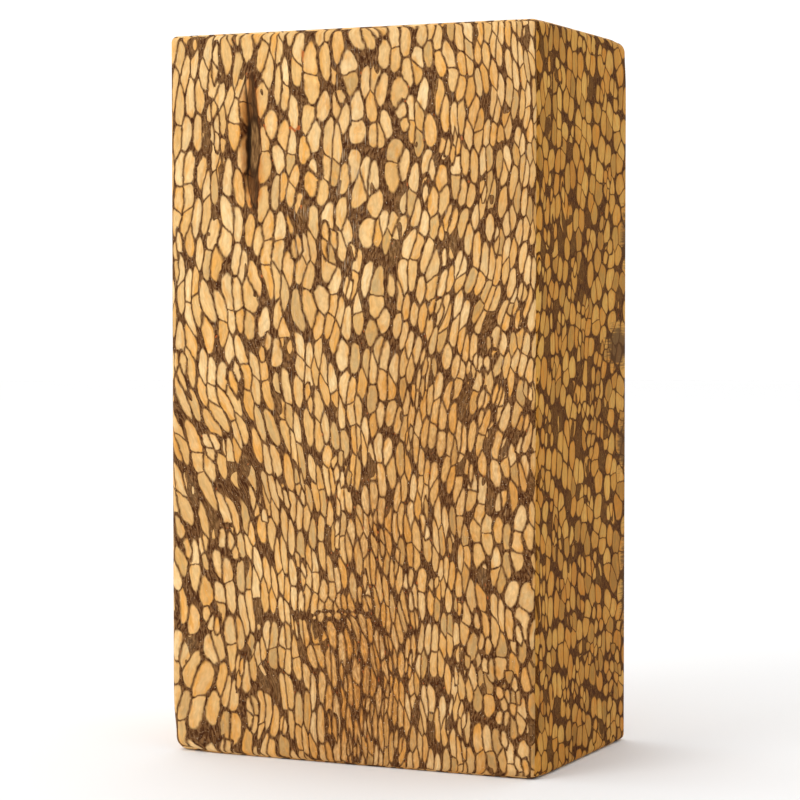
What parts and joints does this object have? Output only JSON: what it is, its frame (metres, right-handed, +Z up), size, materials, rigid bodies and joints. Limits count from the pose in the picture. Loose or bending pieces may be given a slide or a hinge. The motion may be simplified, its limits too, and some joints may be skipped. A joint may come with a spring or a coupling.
{
  "type": "wood block",
  "caption": "Upright planed block of spalted guava wood with a dark net of rounded cells, eased edges and a small bark pocket.",
  "frame": {"origin": "centre of the sawn end that the block stands on, at the height of the surface under it", "axes": "+Z up along the grain, -Y out of the broad front face with the bark pocket, +X to the right of that face"},
  "size_m": [0.049, 0.0312, 0.089],
  "materials": {
    "spalted_guava": "sanded raw wood, dull"
  },
  "bodies": {
    "root": {"guava_block": "spalted_guava"}
  },
  "joints": []
}
